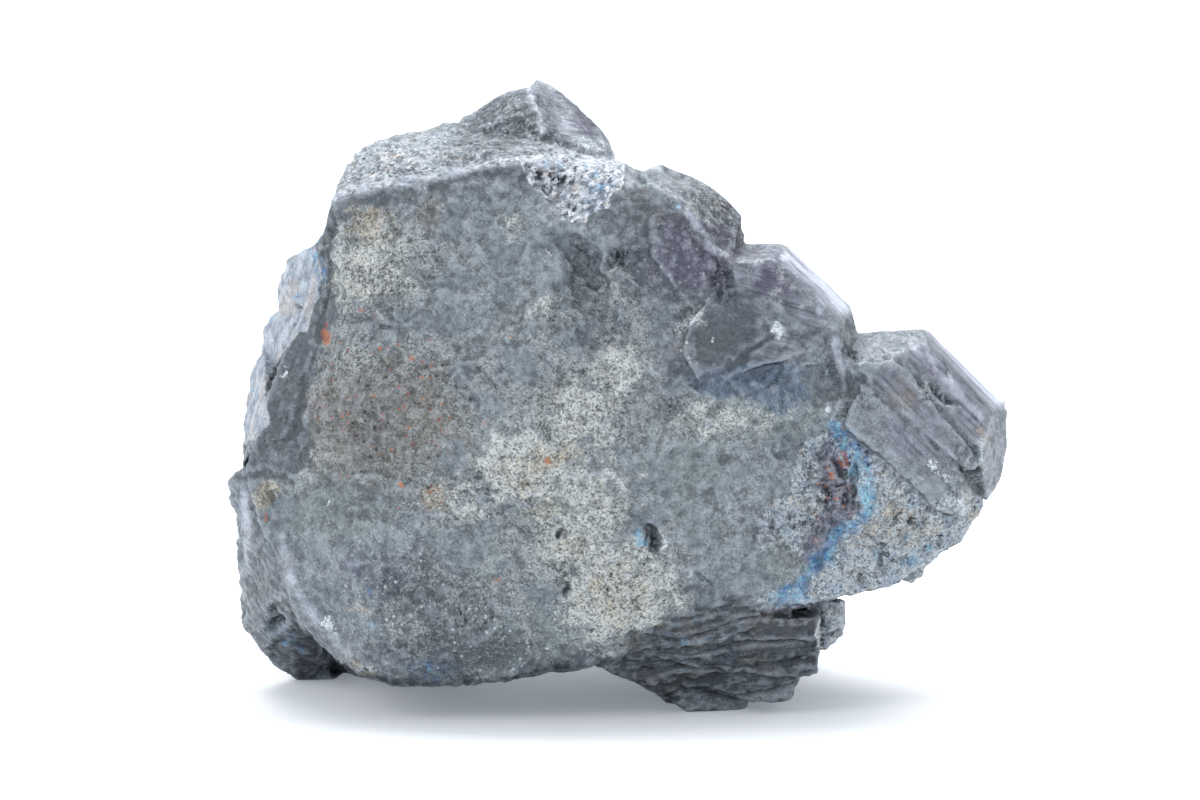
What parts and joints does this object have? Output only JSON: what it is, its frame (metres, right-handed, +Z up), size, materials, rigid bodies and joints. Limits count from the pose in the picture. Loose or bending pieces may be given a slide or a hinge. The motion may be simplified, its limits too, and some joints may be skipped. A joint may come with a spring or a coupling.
{
  "type": "bournonite specimen",
  "caption": "Cluster of grey cogwheel-twinned bournonite crystals grown together, with a broken front face, a stepped crystal shoulder and a layered foot.",
  "frame": {"origin": "under the middle of the specimen's bounding box, on the surface it rests on", "axes": "+Z up, +X to the right of the broken front face, the broken front faces -Y"},
  "size_m": [0.066, 0.0452, 0.0528],
  "materials": {
    "bournonite_cluster": "dull to satin metallic grey, granular where broken, striated and smoother on crystal faces, tarnished blue, violet and orange in places"
  },
  "bodies": {
    "root": {"bournonite_cluster": "bournonite_cluster"}
  },
  "joints": []
}
